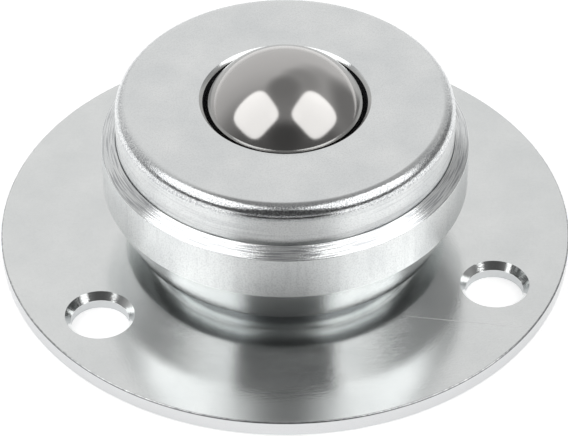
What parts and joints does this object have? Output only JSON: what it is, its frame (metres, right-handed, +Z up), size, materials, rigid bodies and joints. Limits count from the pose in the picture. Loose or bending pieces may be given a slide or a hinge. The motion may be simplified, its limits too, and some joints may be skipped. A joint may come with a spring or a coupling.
{
  "type": "ball transfer unit",
  "caption": "Ball transfer unit: a steel ball on a bed of support balls in a turned round housing with a crimped cap, riveted to a round flange plate with chamfered screw holes.",
  "frame": {"origin": "centre of the flange plate's underside", "axes": "+Z up along the unit's axis to the ball; +Y from the axis to the screw hole at the back"},
  "size_m": [0.0834, 0.0834, 0.0327],
  "materials": {
    "zinc_sheet": "zinc-plated sheet, satin",
    "zinc_turned": "zinc-plated, fine turned",
    "hardened_steel": "hardened and ground",
    "spring_steel": "rolled",
    "wiper_felt": "pressed felt",
    "ball_steel": "hardened and polished"
  },
  "bodies": {
    "base": {"flange_plate": "zinc_sheet", "housing_body": "zinc_turned", "race_cup": "hardened_steel", "keeper_ring": "spring_steel", "wiper_ring": "wiper_felt", "cap": "zinc_turned"},
    "support_ball_bed": {"support_ball_01": "ball_steel", "support_ball_02": "ball_steel", "support_ball_03": "ball_steel", "support_ball_04": "ball_steel", "support_ball_05": "ball_steel", "support_ball_06": "ball_steel", "support_ball_07": "ball_steel", "support_ball_08": "ball_steel", "support_ball_09": "ball_steel", "support_ball_10": "ball_steel", "support_ball_11": "ball_steel", "support_ball_12": "ball_steel", "support_ball_13": "ball_steel", "support_ball_14": "ball_steel", "support_ball_15": "ball_steel", "support_ball_16": "ball_steel", "support_ball_17": "ball_steel", "support_ball_18": "ball_steel", "support_ball_19": "ball_steel", "support_ball_20": "ball_steel", "support_ball_21": "ball_steel", "support_ball_22": "ball_steel", "support_ball_23": "ball_steel", "support_ball_24": "ball_steel", "support_ball_25": "ball_steel", "support_ball_26": "ball_steel", "support_ball_27": "ball_steel", "support_ball_28": "ball_steel", "support_ball_29": "ball_steel", "support_ball_30": "ball_steel", "support_ball_31": "ball_steel", "support_ball_32": "ball_steel", "support_ball_33": "ball_steel", "support_ball_34": "ball_steel", "support_ball_35": "ball_steel", "support_ball_36": "ball_steel", "support_ball_37": "ball_steel", "support_ball_38": "ball_steel", "support_ball_39": "ball_steel", "support_ball_40": "ball_steel", "support_ball_41": "ball_steel", "support_ball_42": "ball_steel", "support_ball_43": "ball_steel", "support_ball_44": "ball_steel", "support_ball_45": "ball_steel", "support_ball_46": "ball_steel", "support_ball_47": "ball_steel", "support_ball_48": "ball_steel", "support_ball_49": "ball_steel", "support_ball_50": "ball_steel", "support_ball_51": "ball_steel", "support_ball_52": "ball_steel", "support_ball_53": "ball_steel"},
    "load_ball": {"load_ball": "ball_steel"}
  },
  "joints": [
    {"name": "bed_swivel", "type": "hinge", "parent": "base", "child": "support_ball_bed", "pos_m": [0, 0, 0.02], "axis": [0, 0, 1], "continuous": true},
    {"name": "ball_roll", "type": "hinge", "parent": "support_ball_bed", "child": "load_ball", "pos_m": [0, 0, 0.02], "axis": [0, 1, 0], "continuous": true}
  ]
}
